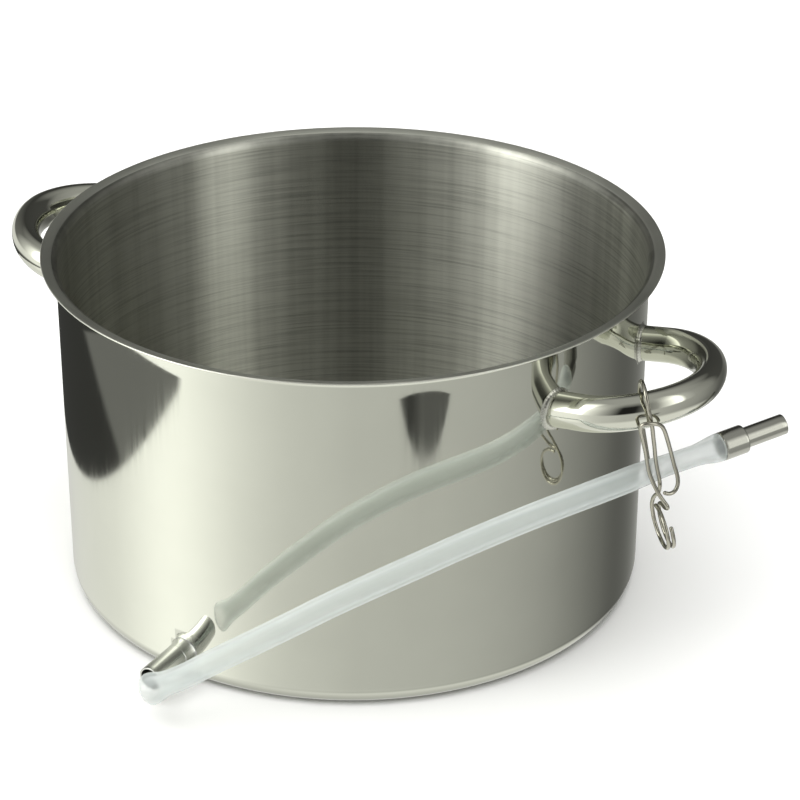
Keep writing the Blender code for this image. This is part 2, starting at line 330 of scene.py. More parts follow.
class Graph:
    """A node tree that is filled by naming each node's settings and inputs."""

    def __init__(self, tree: bpy.types.NodeTree) -> None:
        """Empty the tree.

        Args:
            tree: A material's or a world's tree.
        """
        self.tree = tree
        tree.nodes.clear()

    def node(self, kind: str, inputs: dict | None = None, **settings: object) -> bpy.types.Node:
        """Add a node.

        Args:
            kind: The node's type, without the word ShaderNode.
            inputs: A value or another node's output for each input, by name or by number.
            **settings: The node's own properties.

        Returns:
            The node.
        """
        made = self.tree.nodes.new("ShaderNode" + kind)
        for key, value in settings.items():
            setattr(made, key, value)
        for key, value in (inputs or {}).items():
            if isinstance(value, Socket):
                self.tree.links.new(value, made.inputs[key])
            else:
                made.inputs[key].default_value = value
        return made

    def scaled(self, source: Socket, scale: tuple[float, float, float]) -> Socket:
        """A vector with each of its parts scaled."""
        return self.node("Mapping", {"Vector": source, "Scale": scale}).outputs["Vector"]

    def noise(self, vector: Socket, scale: float, detail: float = 4.0, rough: float = 0.55) -> Socket:
        """A noise's value, from 0 to 1."""
        inputs = {"Vector": vector, "Scale": scale, "Detail": detail, "Roughness": rough}
        return self.node("TexNoise", inputs).outputs["Fac"]

    def spread(
        self, value: Socket, low: float, high: float, start: float = 0.3, end: float = 0.7
    ) -> Socket:
        """A value carried from the range start to end onto the range low to high."""
        inputs = {"Value": value, "From Min": start, "From Max": end, "To Min": low, "To Max": high}
        return self.node("MapRange", inputs).outputs["Result"]

    def math(self, operation: str, first: Socket | float, second: Socket | float = 0.0) -> Socket:
        """One sum on two values."""
        return self.node("Math", {0: first, 1: second}, operation=operation).outputs[0]


class Grain(Enum):
    """Which way a surface was worked, as (coordinates, scale of each of their parts)."""

    ROUND_THE_WALL = ("Object", (15.0, 15.0, 800.0))
    UP_THE_WALL = ("Object", (420.0, 420.0, 5.0))
    ALONG = ("UV", (900.0, 14.0, 1.0))
    ROUND = ("UV", (14.0, 1800.0, 1.0))
    NONE = ("Object", (120.0, 120.0, 120.0))


@dataclass(frozen=True)
class Steel:
    """A steel finish: its colour, its gloss, the marks of how it was worked, and a painted shade at its
    foot.
    """

    name: str
    colour: tuple[float, float, float]
    roughness: float
    swing: float
    grain: Grain
    bump: float
    stretch: float = 0.0
    mottle: float = 0.05
    # How strong the painted shade at the foot is; it stands in for the floor's shadow mirrored in the wall.
    foot_shade: float = 0.0
    line_tone: float = 0.0

    @functools.cache
    def material(self) -> bpy.types.Material:
        """The finish as a material.

        The grain's noise moves the roughness and the height, a broad noise moves the tone, and a stretch
        draws out the gloss across the grain. Where set, a painted shade darkens the foot.

        Returns:
            The material, made on its first use.
        """
        made = bpy.data.materials.new(self.name)
        made.use_nodes = True
        graph = Graph(made.node_tree)
        coords = graph.node("TexCoord")
        source, scale = self.grain.value
        lines = graph.noise(graph.scaled(coords.outputs[source], scale), 1.0, 5.0, 0.6)
        broad = graph.noise(coords.outputs["Object"], 22.0, 3.0)
        dark = tuple(part * (1 - self.mottle) for part in self.colour)
        light = tuple(min(part * (1 + self.mottle), 1.0) for part in self.colour)
        tone = graph.node("Mix", {0: graph.spread(broad, 0.0, 1.0)}, data_type="RGBA")
        tone.inputs[6].default_value = (*dark, 1.0)
        tone.inputs[7].default_value = (*light, 1.0)
        colour = tone.outputs[2]
        if self.line_tone:
            patchy = graph.spread(graph.noise(coords.outputs["Object"], 9.0, 2.0), 0.4, 1.0)
            share = graph.math("MULTIPLY", graph.spread(lines, 0.0, self.line_tone, 0.45, 0.72), patchy)
            rubs = graph.noise(graph.scaled(coords.outputs["Object"], (70.0, 70.0, 1.5)), 1.0, 3.0)
            share = graph.math("ADD", share, graph.spread(rubs, 0.0, 0.22, 0.42, 0.66))
            lined = graph.node("Mix", {0: share, 6: colour}, data_type="RGBA")
            lined.inputs[7].default_value = (0.10, 0.10, 0.09, 1.0)
            colour = lined.outputs[2]
        # Painted shade: the colour darkens towards near black over the lowest 9.5 mm, in place of the
        # floor's shadow mirrored at the foot.
        if self.foot_shade:
            height = graph.node("SeparateXYZ", {0: coords.outputs["Object"]}).outputs["Z"]
            painted_shade_share = graph.spread(height, self.foot_shade, 0.0, 0.0030, 0.0095)
            shaded = graph.node("Mix", {0: painted_shade_share, 6: colour}, data_type="RGBA")
            shaded.inputs[7].default_value = (0.02, 0.02, 0.018, 1.0)
            colour = shaded.outputs[2]
        both = graph.math("ADD", graph.math("MULTIPLY", lines, 0.7), graph.math("MULTIPLY", broad, 0.3))
        rough = graph.spread(both, self.roughness - self.swing, self.roughness + self.swing)
        relief = graph.node("Bump", {"Strength": self.bump, "Distance": 0.0001, "Height": lines})
        inputs = {
            "Base Color": colour,
            "Metallic": 1.0,
            "Roughness": rough,
            "Normal": relief.outputs["Normal"],
        }
        if self.stretch:
            way = graph.node("Tangent", direction_type="UV_MAP", uv_map="lay")
            inputs |= {"Tangent": way.outputs[0], "Anisotropic": self.stretch, "Anisotropic Rotation": 0.25}
        shader = graph.node("BsdfPrincipled", inputs)
        graph.node("OutputMaterial", {"Surface": shader.outputs[0]})
        return made


@dataclass(frozen=True)
class Silicone:
    """Frosted silicone tube: it scatters most light and lets the rest through blurred."""

    name: str = "frosted_silicone"
    colour: tuple[float, float, float] = (0.60, 0.645, 0.635)
    roughness: float = 0.18
    cover: float = 0.24
    edge_cover: float = 0.70

    def material(self) -> bpy.types.Material:
        """The finish as a material.

        Faint bands along the tube from the die move the tone, and a fine noise moves the gloss.

        Returns:
            The material.
        """
        made = bpy.data.materials.new(self.name)
        made.use_nodes = True
        graph = Graph(made.node_tree)
        coords = graph.node("TexCoord")
        facing = graph.node("LayerWeight", {"Blend": 0.5}).outputs["Facing"]
        bands = graph.noise(graph.scaled(coords.outputs["UV"], (260.0, 3.0, 1.0)), 1.0, 3.0)
        haze = graph.noise(coords.outputs["Object"], 60.0, 2.0)
        tone = graph.node("Mix", {0: graph.spread(bands, 0.0, 1.0)}, data_type="RGBA")
        tone.inputs[6].default_value = (*(part * 0.94 for part in self.colour), 1.0)
        tone.inputs[7].default_value = (*self.colour, 1.0)
        inputs = {
            "Base Color": tone.outputs[2],
            "Roughness": graph.spread(haze, self.roughness - 0.06, self.roughness + 0.06),
            "IOR": 1.41,
            "Alpha": graph.spread(facing, self.cover, self.edge_cover, 0.15, 0.85),
            "Subsurface Weight": 0.85,
            "Subsurface Radius": (1.0, 1.0, 1.0),
            "Subsurface Scale": 0.009,
        }
        shader = graph.node("BsdfPrincipled", inputs)
        graph.node("OutputMaterial", {"Surface": shader.outputs[0]})
        return made


TINT = (0.66, 0.67, 0.60)
POLISHED = Steel("polished_steel", TINT, 0.045, 0.02, Grain.UP_THE_WALL, 0.02, mottle=0.02, foot_shade=0.62)
BRUSHED = Steel(
    "round_brushed_steel",
    (0.66, 0.665, 0.61),
    0.40,
    0.05,
    Grain.ROUND_THE_WALL,
    0.55,
    stretch=1.0,
    line_tone=0.50,
)
SATIN_RIM = Steel("satin_rim_steel", (0.80, 0.81, 0.74), 0.42, 0.05, Grain.ROUND_THE_WALL, 0.12, stretch=0.4)
HANDLE = Steel("polished_tube_steel", (0.59, 0.595, 0.53), 0.06, 0.03, Grain.ALONG, 0.02, mottle=0.03)
TURNED = Steel("turned_steel", (0.42, 0.42, 0.385), 0.17, 0.05, Grain.ROUND, 0.15)
FLOOR = Steel("ring_brushed_floor_steel", (0.60, 0.605, 0.555), 0.34, 0.07, Grain.ROUND, 0.20, mottle=0.02)
WELD = Steel("dressed_weld", (0.46, 0.46, 0.42), 0.24, 0.10, Grain.NONE, 0.30, mottle=0.15)
SATIN_TUBE = Steel("satin_tube_steel", (0.60, 0.61, 0.585), 0.23, 0.06, Grain.ALONG, 0.10)
WIRE = Steel("bright_drawn_wire", (0.42, 0.405, 0.35), 0.08, 0.04, Grain.ALONG, 0.10, mottle=0.08)


def piece(mesh: bpy.types.Mesh, finishes: list, slot: str, body: str, *nodes: str) -> bpy.types.Object:
    """Put a mesh into the scene as a piece that stands for some CAD nodes.

    Args:
        mesh: The piece's mesh, in place.
        finishes: The finish of each material index.
        slot: The record's material slot; not used.
        body: The body that it moves with.
        *nodes: The CAD nodes that it stands for.

    Returns:
        The piece.
    """
    for finish in finishes:
        mesh.materials.append(finish.material())
    made = bpy.data.objects.new(mesh.name, mesh)
    bpy.context.scene.collection.objects.link(made)
    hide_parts(*nodes)
    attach(made, body)
    LOG.info("%s: %d faces, on %s", made.name, len(mesh.polygons), body)
    return made


# ---------------------------------------------------------------- sub-assemblies


@dataclass
class KettleShell:
    """The drawn kettle: polished outside, brushed round inside, with a satin flared lip."""

    height: float = 0.192
    wall_radius: float = 0.160
    rim_radius: float = 0.168
    sheet: float = 0.0010
    base_corner: float = 0.0085
    lip_bend: float = 0.0050
    lip_slope: float = math.radians(12)
    sides: int = 320
    hole_radius: float = 0.0073
    hole_sides: int = 53

    def face(self, shift: float) -> tuple[np.ndarray, int, int]:
        """One face of the sheet, from the floor's middle up to the lip.

        Args:
            shift: How far this face lies outside the sheet's middle.

        Returns:
            Points of (radius, height), and how many of them are floor and how many come before the lip.
        """
        half = self.sheet / 2
        wall = self.wall_radius - half
        corner = self.base_corner - half
        turn = math.degrees(math.pi / 2 - self.lip_slope)
        run = self.rim_radius - half - wall - self.lip_bend * (1 - math.cos(math.radians(turn)))
        slope_rise = run * math.tan(self.lip_slope)
        bend_rise = self.lip_bend * math.sin(math.radians(turn))
        start = self.height - half - slope_rise - bend_rise
        floor = np.linspace(0.0, wall - corner, 14)[:-1]
        floor = np.stack([floor, np.full_like(floor, half - shift)], -1)
        foot = arc((wall - corner, half + corner), corner + shift, -90, 0, 16)
        rise = np.linspace(half + corner, start, 26)[1:-1]
        rise = np.stack([np.full_like(rise, wall + shift), rise], -1)
        bend = arc((wall + self.lip_bend, start), self.lip_bend - shift, 180, 180 - turn, 12)
        return np.vstack([floor, foot, rise, bend]), len(floor), len(floor) + len(foot) + len(rise)

    def build(self) -> bpy.types.Object:
        """Turn the section round, cut the spout's hole and dress each face.

        Returns:
            The shell.
        """
        half = self.sheet / 2
        outside, floor, lip = self.face(half)
        inside, _, _ = self.face(-half)
        edge = arc((self.rim_radius - half, self.height - half), half, -78, 102, 9)
        section = np.vstack([outside, edge, inside[::-1]])
        rows = np.zeros(len(section), int)
        rows[: floor - 1] = 3
        rows[lip + 3 : len(outside) + len(edge) + 2] = 1
        rows[len(outside) + len(edge) + 2 :] = 2
        rows[len(section) - floor - 1 :] = 3
        grid = turned(section, np.zeros(3), np.eye(3), self.sides)
        mesh = skin("kettle_wall", grid, ring=False, poles=True, rows=rows)
        shell = piece(mesh, [POLISHED, SATIN_RIM, BRUSHED, FLOOR], "shell_steel", FIXED_BODY, "kettle_shell")
        self.cut(shell)
        return shell

    def cut(self, shell: bpy.types.Object) -> None:
        """Cut the spout's hole through the wall.

        Args:
            shell: The shell, whose mesh is replaced.
        """
        spout = DrainSpout()
        section = np.array([[0, -0.012], [self.hole_radius, -0.012], [self.hole_radius, 0.012], [0, 0.012]])
        section[:, 1] += self.wall_radius
        # An odd number of sides keeps the cutter's corners off the wall's own, which would leave slivers.
        grid = turned(section, spout.middle(), axes_on(spout.axis()), self.hole_sides)
        tool = bpy.data.objects.new("hole_tool", skin("hole_tool", grid, ring=False, poles=True))
        bpy.context.scene.collection.objects.link(tool)
        cut = shell.modifiers.new("hole", "BOOLEAN")
        cut.object = tool
        cut.operation = "DIFFERENCE"
        bpy.context.view_layer.update()
        graph = bpy.context.evaluated_depsgraph_get()
        cut_mesh = bpy.data.meshes.new_from_object(shell.evaluated_get(graph))
        shell.modifiers.clear()
        split_to_triangles(cut_mesh)
        shell.data = cut_mesh
        cut_mesh.name = "kettle_wall"
        bpy.data.objects.remove(tool, do_unlink=True)


@dataclass
class TubeHandle:
    """One handle: a hollow oval tube bent to a flattened loop, with a fillet of weld at each root."""

    side: str
    turn: float
    wall_radius: float = 0.160
    reach: float = 0.0518
    half_spread: float = 0.0457
    root_half_spread: float = 0.0450
    leg: float = 0.0105
    roundness: float = 1.87
    root_height: float = 0.1555
    tilt: float = math.radians(8.9)
    width: float = 0.0164
    depth: float = 0.0196
    tube_wall: float = 0.0015
    weld: float = 0.0019
    weld_sink: float = 0.0006
    foot_sink: float = 0.0004
    cope_gap: float = 0.0003
    sides: int = 48
    bend_points: int = 121
    leg_points: int = 8
    weld_points: int = 144

    def line(self) -> np.ndarray:
        """The middle line in plan, as (out, along).

        A superellipse: out grows by the cosine and along by the sine of one angle, each to the power of
        two over the roundness, with a short straight leg at each end.

        Returns:
            The points, shaped (n, 2).
        """
        power = 2 / self.roundness
        start = self.wall_radius + self.leg
        angle = np.linspace(-math.pi / 2, math.pi / 2, self.bend_points)
        out = start + (self.reach - self.leg) * np.maximum(np.cos(angle), 0.0) ** power
        along = self.half_spread * np.sign(angle) * np.abs(np.sin(angle)) ** power
        foot = math.sqrt(self.wall_radius**2 - self.root_half_spread**2) - self.foot_sink
        share = np.linspace(0, 1, self.leg_points)[:-1]
        leg_out = foot + (start - foot) * share
        leg_along = self.root_half_spread + (self.half_spread - self.root_half_spread) * share
        first = np.stack([leg_out, -leg_along], -1)
        last = np.stack([leg_out, leg_along], -1)[::-1]
        return np.vstack([first, np.stack([out, along], -1), last])

    def rings(self, half_width: float, half_depth: float, sides: int) -> np.ndarray:
        """Oval rings along the middle line, the end ones cut to the wall's curve.

        Args:
            half_width: Half the oval across, in plan.
            half_depth: Half the oval upwards.
            sides: Points in a ring.

        Returns:
            The rings, shaped (n, sides, 3).
        """
        line = self.line()
        step = np.gradient(line, axis=0)
        step /= np.linalg.norm(step, axis=1)[:, None]
        normal = np.stack([step[:, 1], -step[:, 0]], -1)
        angle = np.linspace(0, math.tau, sides, endpoint=False)
        across = half_width * np.cos(angle)
        flat = line[:, None] + normal[:, None] * across[None, :, None]
        for end in (0, -1):
            flat[end, :, 0] = np.sqrt((self.wall_radius - self.cope_gap) ** 2 - flat[end, :, 1] ** 2)
        height = self.root_height + (flat[..., 0] - self.wall_radius) * math.tan(self.tilt)
        height = height + half_depth * np.sin(angle)
        return np.concatenate([flat, height[..., None]], -1)

    def placed(self, grid: np.ndarray) -> np.ndarray:
        """The points turned to this handle's side of the wall."""
        return grid @ np.array(Matrix.Rotation(self.turn, 3, "Z")).T

    def fillet(self, end: float) -> np.ndarray:
        """The weld round one root: a hollow quarter arc from the wall to the tube, with faint ripples.

        Point (i, j) lies at angle i round the oval, and at angle j of an arc whose centre is one weld
        width off the wall and off the tube. The section closes inside both.

        Args:
            end: -1 or 1, for which root.

        Returns:
            The rings, shaped (n, points, 3).
        """
        theta = np.linspace(0, math.tau, self.weld_points, endpoint=False)[:, None]
        phi = np.radians(np.linspace(180, 270, 9))[None, :]
        ripple = 1 + 0.08 * np.sin(34 * theta) + 0.05 * np.sin(5 * theta)
        aside = self.weld * ripple * (1 + np.cos(phi))
        off = self.weld * ripple * (1 + np.sin(phi))
        back = np.zeros_like(theta)
        aside = np.hstack([aside, back + self.weld, back - self.weld_sink, back - self.weld_sink])
        off = np.hstack([off, back - self.weld_sink, back - self.weld_sink, back + self.weld])
        along = end * self.root_half_spread + (self.width / 2 + aside) * np.cos(theta)
        tilt = off * math.tan(self.tilt)
        out = np.sqrt((self.wall_radius + off) ** 2 - along**2)
        root = math.sqrt(self.wall_radius**2 - self.root_half_spread**2)
        base = self.root_height + (root - self.wall_radius) * math.tan(self.tilt)
        up = base + tilt + (self.depth / 2 + aside) * np.sin(theta)
        return np.stack([out, along, up], -1)

    def build(self) -> None:
        """Make the tube and its two welds."""
        name = f"handle_{self.side}"
        outer = self.rings(self.width / 2, self.depth / 2, self.sides)
        hollow = (self.width / 2 - self.tube_wall, self.depth / 2 - self.tube_wall)
        inner = self.rings(*hollow, self.sides)
        grid = self.placed(np.concatenate([outer, inner[::-1]]))
        piece(skin(f"{name}_tube", grid), [HANDLE], "handle_steel", FIXED_BODY, name)
        for end, word in ((-1.0, "front"), (1.0, "back")):
            mesh = skin(f"{name}_fillet_{word}", self.placed(self.fillet(end)))
            piece(mesh, [WELD], "weld_steel", FIXED_BODY, f"{name}_weld_{word}")


@dataclass
class DrainSpout:
    """The drain spout and the fillet of weld round it."""

    radius: float = 0.0070
    bore: float = 0.0060
    height: float = 0.0170
    tip: float = 0.1895
    root: float = 0.1586
    tilt: float = math.radians(3.4)
    wall_radius: float = 0.160
    weld: float = 0.0080
    weld_width: float = 0.0011
    weld_points: int = 120
    edge: float = 0.0003
    side_sink: float = 0.0004
    wall_sink: float = 0.0005
    sides: int = 72

    def axis(self) -> np.ndarray:
        """The way out along the spout."""
        return np.array([0.0, -math.cos(self.tilt), -math.sin(self.tilt)])

    def middle(self) -> np.ndarray:
        """Where the spout's axis crosses the kettle's own."""
        return np.array([0.0, 0.0, self.height + self.wall_radius * math.tan(self.tilt)])

    def fillet(self) -> np.ndarray:
        """The weld: a hollow quarter arc from the wall to the spout, closed inside both.

        Returns:
            The rings, shaped (n, points, 3).
        """
        theta = np.linspace(0, math.tau, self.weld_points, endpoint=False)[:, None]
        phi = np.radians(np.linspace(180, 270, 11))[None, :]
        ripple = 1 + 0.02 * np.sin(9 * theta) + 0.04 * np.sin(3 * theta)
        aside = self.weld_width * ripple * (1 + np.cos(phi))
        off = self.weld * ripple * (1 + np.sin(phi))
        back = np.zeros_like(theta)
        aside = np.hstack([aside, back + self.weld_width, back - self.side_sink, back - self.side_sink])
        off = np.hstack([off, back - self.wall_sink, back - self.wall_sink, back + self.weld])
        along = (self.radius + aside) * np.cos(theta)
        out = np.sqrt((self.wall_radius + off) ** 2 - along**2)
        up = self.height - off * math.tan(self.tilt) + (self.radius + aside) * np.sin(theta)
        return np.stack([along, -out, up], -1)

    def build(self) -> None:
        """Make the spout and its weld."""
        section = pipe_section(self.radius, self.bore, self.root, self.tip, self.edge)
        grid = turned(section, self.middle(), axes_on(self.axis()), self.sides)
        piece(skin("drain_spout", grid), [SATIN_TUBE], "tube_steel", FIXED_BODY, "spout_tube")
        piece(skin("spout_fillet", self.fillet()), [SATIN_TUBE], "weld_steel", FIXED_BODY, "spout_weld")


# The hose's own points, from its cut end beside the spout up to the outlet fitting.
HOSE_ROUTE = (
    (0.008, -0.199, 0.018),
    (0.028, -0.198, 0.032),
    (0.047, -0.195, 0.047),
    (0.066, -0.189, 0.061),
    (0.084, -0.181, 0.074),
    (0.101, -0.171, 0.086),
    (0.117, -0.159, 0.096),
    (0.133, -0.144, 0.105),
    (0.147, -0.127, 0.112),
    (0.160, -0.107, 0.117),
    (0.171, -0.087, 0.120),
    (0.182, -0.066, 0.1222),
    (0.192, -0.046, 0.1240),
    (0.2014, -0.0268, 0.1258),
    (0.2115, -0.0109, 0.1279),
    (0.2217, 0.0050, 0.1302),
)
OUTLET_AXIS = np.array([0.5329, 0.8342, 0.1413])


@dataclass
class DrainHose:
    """The silicone hose: open and flared at its lower end, pinched by the clamp, stretched over a collar."""

    radius: float = 0.0065
    bore: float = 0.0047
    neck: float = 0.0055
    flare: float = 0.0084
    cuff: float = 0.0074
    length: float = 0.342
    thinnest: float = 0.0009
    flare_reach: float = 0.0075
    neck_from_end: float = 0.040
    neck_softness: float = 0.0035
    cuff_reach: float = 0.016
    sides: int = 40
    rings: int = 260

    def build(self, fitting: list[bpy.types.Object]) -> bpy.types.Object:
        """Args:
            fitting: The pieces in its upper end; not used.

        Returns:
            The hose.
        """
        path = even_curve(smooth_curve(np.array(HOSE_ROUTE), 600), self.rings)
        run = np.r_[0.0, np.cumsum(np.linalg.norm(np.diff(path, axis=0), axis=1))]
        outer = self.outline(run)
        hollow = np.minimum(self.bore + 0.7 * np.maximum(outer - self.radius, 0.0), outer - self.thinnest)
        lip = np.array([0.25, 0.6, 0.9])
        rim = outer[0] - (outer[0] - hollow[0]) * lip
        cuff = outer[-1] - (outer[-1] - hollow[-1]) * lip
        out_rings = swept(path, outer, self.sides)
        in_rings = swept(path, hollow, self.sides)
        first = np.stack([swept(path, np.full(len(path), value), self.sides)[0] for value in rim])
        last = np.stack([swept(path, np.full(len(path), value), self.sides)[-1] for value in cuff])
        grid = np.concatenate([out_rings, last, in_rings[::-1], first[::-1]])
        hose = piece(skin("drain_hose", grid), [Silicone()], "silicone", FIXED_BODY, "hose")
        LOG.info("hose length %.4f m", run[-1])
        return hose

    def outline(self, run: np.ndarray) -> np.ndarray:
        """The hose's outside radius along its length.

        The plain radius, plus a flare that fades as a bell curve from the cut end, less a step to the neck
        past the clamp, plus a smooth rise to the cuff over the collar.

        Args:
            run: Distances along the hose.

        Returns:
            The radius at each.
        """
        left = run[-1] - run
        flare = (self.flare - self.radius) * np.exp(-((run / self.flare_reach) ** 2))
        into_neck = 1 / (1 + np.exp((left - self.neck_from_end) / self.neck_softness))
        rise = np.clip(1 - left / self.cuff_reach, 0, 1)
        rise = rise**2 * (3 - 2 * rise)
        base = self.radius + (self.neck - self.radius) * into_neck
        return base + flare + (self.cuff - self.neck) * rise


@dataclass
class OutletFitting:
    """The steel fitting in the hose's upper end: a collar and the tube that carries on beyond it."""

    radius: float = 0.0054
    bore: float = 0.0044
    reach: float = 0.0370
    collar: float = 0.00745
    collar_length: float = 0.0134
    gap: float = 0.0003
    edge: float = 0.0003
    collar_edge: float = 0.0006
    collar_clearance: float = 0.0001
    sides: int = 64

    def build(self) -> list[bpy.types.Object]:
        """Make the tube and the collar.

        Returns:
            The two pieces.
        """
        axes = axes_on(OUTLET_AXIS)
        start = np.array(HOSE_ROUTE[-1]) + axes[2] * self.gap
        tube = pipe_section(self.radius, self.bore, 0.0, self.reach, self.edge)
        tube = turned(tube, start, axes, self.sides)
        bore = self.radius + self.collar_clearance
        ring = pipe_section(self.collar, bore, 0.0, self.collar_length, self.collar_edge)
        ring = turned(ring, start, axes, self.sides)
        return [
            piece(skin("outlet_pipe", tube), [TURNED], "tube_steel", FIXED_BODY, "outlet_tube"),
            piece(skin("outlet_ring", ring), [TURNED], "tube_steel", FIXED_BODY, "outlet_collar"),
        ]


# The clamp's wires in its own frame, in millimetres: along the spring's axis, towards the wall, and up to
# the handle's bar. The hanging arm runs from its free end behind the hose, over the bar and back down.
HANGER_ROUTE = (
    (-0.6, 7.9, 26.5),
    (-0.6, 7.0, 33.0),
    (-0.6, 6.9, 40.0),
    (-0.4, 7.6, 48.0),
    (0.0, 9.0, 57.0),
    (0.6, 10.6, 66.0),
    (1.3, 10.9, 73.0),
    (1.9, 9.3, 80.0),
    (1.9, 5.6, 85.6),
    (1.6, 1.0, 88.6),
    (1.0, -4.0, 88.8),
    (0.4, -8.2, 86.6),
    (0.0, -10.4, 81.5),
    (0.0, -10.9, 75.0),
    (0.3, -10.5, 68.5),
    (0.3, -9.1, 61.0),
    (0.3, -7.9, 54.0),
    (0.1, -7.0, 47.0),
    (0.1, -6.9, 40.0),
    (0.3, -6.8, 34.0),
    (0.2, -5.2, 28.0),
    (-0.4, -2.0, 22.6),
    (-0.9, 3.2, 17.8),
    (-1.3, 8.0, 12.4),
    (-1.7, 11.0, 6.5),
    (-1.8, 11.6, 0.0),
)
# The jaw: a loop that presses the hose from the front, crosses the hanging arm and turns into the spring.
JAW_ROUTE = (
    (1.3, -9.7, 26.9),
    (3.4, -9.6, 25.6),
    (5.6, -9.1, 25.3),
    (7.7, -8.4, 26.4),
    (9.2, -7.7, 29.2),
    (9.6, -7.3, 33.4),
    (9.1, -7.0, 38.5),
    (8.7, -7.0, 43.5),
    (8.1, -7.7, 50.0),
    (7.1, -9.2, 58.3),
    (6.1, -10.8, 64.2),
    (4.9, -12.1, 68.2),
    (2.9, -13.1, 70.9),
    (0.2, -13.5, 72.4),
    (-2.8, -13.4, 73.4),
    (-5.0, -12.8, 73.0),
    (-6.0, -12.0, 70.8),
    (-5.8, -10.9, 67.0),
    (-5.2, -9.5, 61.0),
    (-4.7, -8.5, 54.0),
    (-4.7, -8.1, 47.0),
    (-4.6, -8.1, 41.0),
    (-3.7, -8.3, 35.2),
    (-2.6, -8.8, 30.0),
    (-1.5, -9.6, 26.0),
    (-0.2, -10.6, 22.6),
    (0.9, -11.6, 19.9),
    (1.2, -9.8, 17.2),
    (1.3, -6.2, 15.0),
    (1.6, -2.6, 12.9),
    (1.8, 1.0, 11.56),
)


@dataclass
class PinchClamp:
    """The spring wire clamp: an arm that hangs on the handle's bar, and a jaw that swings on the spring."""

    centre: np.ndarray = field(default_factory=lambda: np.array([0.2049, -0.0203, 0.0908]))
    bar: np.ndarray = field(default_factory=lambda: np.array([0.1973, -0.0340, 0.1613]))
    hint: np.ndarray = field(default_factory=lambda: np.array([0.679, 0.693, 0.248]))
    wire: float = 0.00105
    spring_radius: float = 0.0116
    spring_offset: float = 0.0018
    spring_end: float = 0.0013
    spring_sweep: float = math.radians(290)

    def axes(self) -> np.ndarray:
        """The clamp's own directions.

        Returns:
            Three rows: along the spring's axis, towards the wall, and up to the bar.
        """
        up = self.bar - self.centre
        up = up / np.linalg.norm(up)
        axis = self.hint - up * self.hint.dot(up)
        axis /= np.linalg.norm(axis)
        return np.array([axis, np.cross(up, axis), up])

    def spring(self, side: float, start: float) -> np.ndarray:
        """One turn of the spring, from the back and down, drawing in towards the middle of the axis.

        Args:
            side: -1 or 1, for which end of the axis.
            start: The angle where the arm runs into it.

        Returns:
            The points in the clamp's frame, in metres.
        """
        share = np.linspace(0, 1, 60)[1:]
        angle = start + self.spring_sweep * share
        shift = side * (self.spring_offset + (self.spring_end - self.spring_offset) * share)
        return np.stack([shift, self.spring_radius * np.cos(angle), -self.spring_radius * np.sin(angle)], -1)

    def arm(self, name: str, route: tuple, side: float, start: float) -> bpy.types.Mesh:
        """The wire of one arm, with its spring turn.

        Args:
            name: The mesh's name.
            route: The arm's points in the clamp's frame, in millimetres.
            side: -1 or 1, for which end of the spring it runs into.
            start: The angle where it does.

        Returns:
            The closed mesh.
        """
        leg = smooth_curve(np.array(route) * MM, 360)
        local = even_curve(np.vstack([leg, self.spring(side, start)]), 420)
        return round_wire(name, self.centre + local @ self.axes(), self.wire)

    def build(self) -> None:
        """Make the two arms."""
        hanger = self.arm("clamp_hanging_wire", HANGER_ROUTE, -1.0, 0.0)
        piece(hanger, [WIRE], "spring_wire", FIXED_BODY, "clamp_hanger")
        jaw = self.arm("clamp_jaw_wire", JAW_ROUTE, 1.0, math.radians(-85))
        piece(jaw, [WIRE], "spring_wire", JAW_BODY, "clamp_jaw")


# ---------------------------------------------------------------- studio


